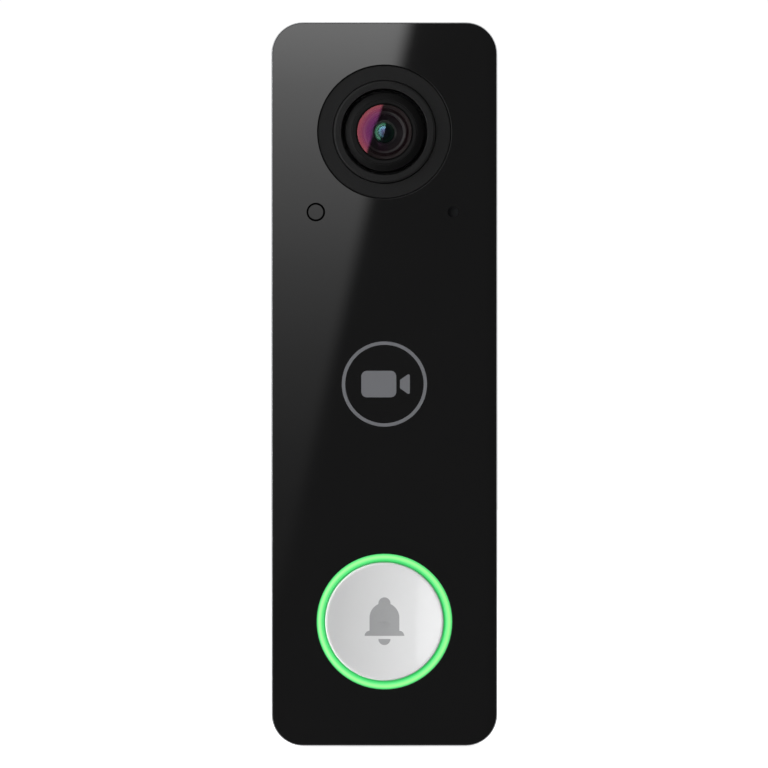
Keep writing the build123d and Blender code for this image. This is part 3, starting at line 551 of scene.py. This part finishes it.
def mesh_disc(node, profile, turns=96):
    """The microphone's cloth, drawn into a shallow cup behind its hole; profile is (radius, distance from the wall) in mm."""
    lo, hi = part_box(node)
    cx, cz = (lo.x + hi.x) / 2, (lo.z + hi.z) / 2
    body = N[node]["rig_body"]
    bm = bmesh.new()
    cols = []
    for r, d in profile:
        if r < 1e-9:
            cols.append([bm.verts.new((cx, -d * MM, cz))])
        else:
            cols.append([bm.verts.new((cx + r * MM * math.cos(2 * math.pi * k / turns), -d * MM, cz + r * MM * math.sin(2 * math.pi * k / turns)))
                         for k in range(turns)])
    for a, b in zip(cols, cols[1:]):
        for k in range(turns):
            k2 = (k + 1) % turns
            if len(a) == 1:
                f = bm.faces.new((a[0], b[k2], b[k]))
            elif len(b) == 1:
                f = bm.faces.new((a[k], a[k2], b[0]))
            else:
                f = bm.faces.new((a[k], a[k2], b[k2], b[k]))
            f.smooth = True
    bmesh.ops.recalc_face_normals(bm, faces=bm.faces)
    for e in bm.edges:
        if len(e.link_faces) == 2 and e.calc_face_angle(0.0) > math.radians(35):
            e.smooth = False
    me = bpy.data.meshes.new(node + "_cup")
    bm.to_mesh(me)
    bm.free()
    ob = bpy.data.objects.new(node + "_cup", me)
    scene.collection.objects.link(ob)
    me.materials.append(M["mesh_cloth"])
    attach(ob, body)
    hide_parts(node)
    return ob


mesh_disc("microphone_mesh", [(0, 23.76), (0.25, 23.77), (0.45, 23.80), (0.62, 23.86), (0.76, 23.93), (0.87, 24.00), (0.93, 24.04),
                              (0.97, 24.05), (1.46, 24.05), (1.46, 23.8), (0.95, 23.8), (0.80, 23.76), (0.62, 23.71), (0.4, 23.67), (0, 23.65)])

# ------------------------------------------------------------------ stage: floor, world, lights, camera


def plane(name, centre, u, v, mat, camera=True):
    """Rectangle spanned by half-vectors u and v; its normal is u x v."""
    c, u, v = Vector(centre), Vector(u), Vector(v)
    me = bpy.data.meshes.new(name)
    me.from_pydata([c - u - v, c + u - v, c + u + v, c - u + v], [], [(0, 1, 2, 3)])
    ob = bpy.data.objects.new(name, me)
    scene.collection.objects.link(ob)
    me.materials.append(mat)
    ob.visible_camera = camera
    return ob


lo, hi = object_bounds()
fl = Mat("pale_floor")
fl.colour(fl.ramp(fl.noise(60.0, 2.0), [(0.3, (0.86, 0.86, 0.86)), (0.7, (0.88, 0.88, 0.88))]))
fl.set("Roughness", 0.7)
fl.set("Specular IOR Level", 0.1)
fl.set("Emission Color", (1.0, 1.0, 1.0))
fl.set("Emission Strength", 0.75)
floor = plane("floor", (0, 0.0, lo.z - 0.0003), (3.0, 0, 0), (0, 3.0, 0), fl.mat)
floor.visible_glossy = floor.visible_diffuse = False

world = bpy.data.worlds.new("studio")
scene.world = world
world.use_nodes = True
wt = world.node_tree
wt.nodes.clear()
wo = wt.nodes.new("ShaderNodeOutputWorld")
bg = wt.nodes.new("ShaderNodeBackground")
white = wt.nodes.new("ShaderNodeBackground")
mixs = wt.nodes.new("ShaderNodeMixShader")
path = wt.nodes.new("ShaderNodeLightPath")
tc = wt.nodes.new("ShaderNodeTexCoord")
sep = wt.nodes.new("ShaderNodeSeparateXYZ")
rmp = wt.nodes.new("ShaderNodeValToRGB")
wt.links.new(tc.outputs["Generated"], sep.inputs[0])
mr = wt.nodes.new("ShaderNodeMapRange")
wt.links.new(sep.outputs["Y"], mr.inputs["Value"])
mr.inputs["From Min"].default_value = -1.0
mr.inputs["From Max"].default_value = 1.0
el = rmp.color_ramp.elements
WORLD = [(0.0, 0.012), (0.05, 0.03), (0.15, 0.16), (0.30, 0.40), (0.50, 0.60), (1.0, 0.75)]
while len(el) < len(WORLD):
    el.new(0.5)
for e, (p, v) in zip(el, WORLD):
    e.position = p
    e.color = (v, v, v, 1)
rmp.color_ramp.interpolation = "EASE"
wt.links.new(mr.outputs["Result"], rmp.inputs["Fac"])
wt.links.new(rmp.outputs["Color"], bg.inputs["Color"])
bg.inputs["Strength"].default_value = 1.0
white.inputs["Color"].default_value = (1, 1, 1, 1)
white.inputs["Strength"].default_value = 1.02
wt.links.new(path.outputs["Is Camera Ray"], mixs.inputs["Fac"])
wt.links.new(bg.outputs[0], mixs.inputs[1])
wt.links.new(white.outputs[0], mixs.inputs[2])
wt.links.new(mixs.outputs[0], wo.inputs["Surface"])

CAM_D = 1.6
CAM_X, CAM_Z = -0.000076, 0.000012
L = 0.8                        # softbox distance in front of the face
MIRROR = 1 + L / CAM_D


def emitter(name):
    mt = bpy.data.materials.new(name)
    mt.use_nodes = True
    t = mt.node_tree
    t.nodes.clear()
    out = t.nodes.new("ShaderNodeOutputMaterial")
    em = t.nodes.new("ShaderNodeEmission")
    t.links.new(em.outputs[0], out.inputs["Surface"])
    return mt, t, em


# the strip softbox that the flat front mirrors: it fades downwards and ends on a slanted, soft edge
mt, t, em = emitter("strip_light")
geo = t.nodes.new("ShaderNodeTexCoord")
sp = t.nodes.new("ShaderNodeSeparateXYZ")
t.links.new(geo.outputs["Object"], sp.inputs[0])


def tmath(op, a, b=None, clamp=False):
    n = t.nodes.new("ShaderNodeMath")
    n.operation = op
    n.use_clamp = clamp
    for i, v in enumerate((a, b)):
        if v is None:
            continue
        if isinstance(v, (int, float)):
            n.inputs[i].default_value = v
        else:
            t.links.new(v, n.inputs[i])
    return n.outputs[0]


px = tmath("DIVIDE", tmath("SUBTRACT", sp.outputs["X"], CAM_X), MIRROR * MM)
pz = tmath("DIVIDE", tmath("SUBTRACT", sp.outputs["Z"], CAM_Z), MIRROR * MM)
fade = t.nodes.new("ShaderNodeValToRGB")
GLOSS = [(-42.8, 0.0), (-37.5, 0.0019), (-32.2, 0.0032), (-21.6, 0.0053), (-11.0, 0.0087), (-0.3, 0.0141), (5.0, 0.0171), (10.3, 0.0216),
         (15.6, 0.0265), (20.9, 0.032), (26.2, 0.040), (31.5, 0.048), (36.8, 0.056), (42.2, 0.067), (47.5, 0.080), (52.8, 0.093),
         (58.1, 0.116), (63.4, 0.138)]
Z0, Z1 = -45.0, 66.0
f_in = tmath("DIVIDE", tmath("SUBTRACT", pz, Z0), Z1 - Z0, True)
el = fade.color_ramp.elements
while len(el) < len(GLOSS):
    el.new(0.5)
PEAK = 0.16
for e, (z, v) in zip(el, GLOSS):
    e.position = (z - Z0) / (Z1 - Z0)
    e.color = (v / PEAK, v / PEAK, v / PEAK, 1)
t.links.new(f_in, fade.inputs["Fac"])
edge = tmath("SUBTRACT", tmath("ADD", tmath("MULTIPLY", tmath("SUBTRACT", 63.4, pz), -0.2265), 4.165), px)
soft = t.nodes.new("ShaderNodeMapRange")
soft.interpolation_type = "SMOOTHSTEP"
soft.inputs["From Min"].default_value = -1.85
soft.inputs["From Max"].default_value = 1.85
t.links.new(edge, soft.inputs["Value"])
side = tmath("ADD", tmath("MULTIPLY", px, 0.0025), 1.02)
level = tmath("MULTIPLY", tmath("MULTIPLY", fade.outputs["Color"], soft.outputs["Result"]), side)
t.links.new(tmath("ADD", tmath("MULTIPLY", level, PEAK / 0.040), 0.04), em.inputs["Strength"])
em.inputs["Color"].default_value = (1, 1, 1, 1)
plane("strip_softbox", (-0.012, FRONT - L, 0.004), (0.040, 0, 0), (0, 0, 0.112), mt, camera=False)

# the large softbox at the left that only the curved glass mirrors
mt, t, em = emitter("big_light")
a, b = Vector((-0.081, 0, 0.067)), Vector((0.332, 0, 1.0)).normalized()
bt, bs = t.nodes.new("ShaderNodeTexCoord"), t.nodes.new("ShaderNodeSeparateXYZ")
t.links.new(bt.outputs["Object"], bs.inputs[0])
inside = tmath("SUBTRACT", tmath("MULTIPLY", tmath("SUBTRACT", bs.outputs["Z"], a.z), b.x), tmath("MULTIPLY", tmath("SUBTRACT", bs.outputs["X"], a.x), b.z))


def fall(value, low, high):
    n = t.nodes.new("ShaderNodeMapRange")
    n.interpolation_type = "SMOOTHSTEP"
    n.inputs["From Min"].default_value = low
    n.inputs["From Max"].default_value = high
    t.links.new(value, n.inputs["Value"])
    return n.outputs["Result"]


t.links.new(tmath("MULTIPLY", tmath("MULTIPLY", fall(inside, -0.004, 0.030), fall(bs.outputs["Z"], -0.70, -0.35)), 1.3), em.inputs["Strength"])
me = bpy.data.meshes.new("big_softbox")
top, bot = a + b * 0.75, a - b * 0.75
pts = [Vector((-0.95, 0, bot.z)), Vector((bot.x, 0, bot.z)), Vector((top.x, 0, top.z)), Vector((-0.95, 0, top.z))]
me.from_pydata([(p.x, FRONT - L, p.z) for p in pts], [], [(0, 3, 2, 1)])
ob = bpy.data.objects.new("big_softbox", me)
scene.collection.objects.link(ob)
me.materials.append(mt)
ob.visible_camera = False
ob.visible_diffuse = False


def area(name, at, aim, size, energy, colour=(1, 1, 1)):
    li = bpy.data.lights.new(name, "AREA")
    li.shape = "RECTANGLE"
    li.size, li.size_y = size
    li.energy = energy
    li.color = colour
    ob = bpy.data.objects.new(name, li)
    ob.location = at
    ob.rotation_euler = (Vector(aim) - Vector(at)).to_track_quat("-Z", "Y").to_euler()
    scene.collection.objects.link(ob)
    return ob


key = area("key_left", (-1.10, -0.60, 0.0), (0, 0, 0), (1.0, 1.2), 43.0)
fill = area("fill", (0.0, -1.3, -0.25), (0, 0, 0), (0.8, 0.8), 9.2)
key.visible_glossy = fill.visible_glossy = False
area("side_right", (0.80, 0.60, 0.45), (0, 0.01, 0.0), (0.6, 0.9), 1.8)
area("side_back", (-0.75, 1.00, 0.55), (0, 0.01, 0), (0.5, 0.7), 5.0).visible_glossy = False

cam = bpy.data.cameras.new("camera")
cam_ob = bpy.data.objects.new("camera", cam)
scene.collection.objects.link(cam_ob)
cam.sensor_width = 36.0
cam.lens = 36.0 * CAM_D / (768 / 5.647 * MM)
cam.clip_start, cam.clip_end = 0.01, 50.0
cam_ob.location = (CAM_X, FRONT - CAM_D, CAM_Z)
cam_ob.rotation_euler = (math.pi / 2, 0, 0)
scene.camera = cam_ob
scene.view_settings.view_transform = "Standard"
scene.view_settings.look = "None"
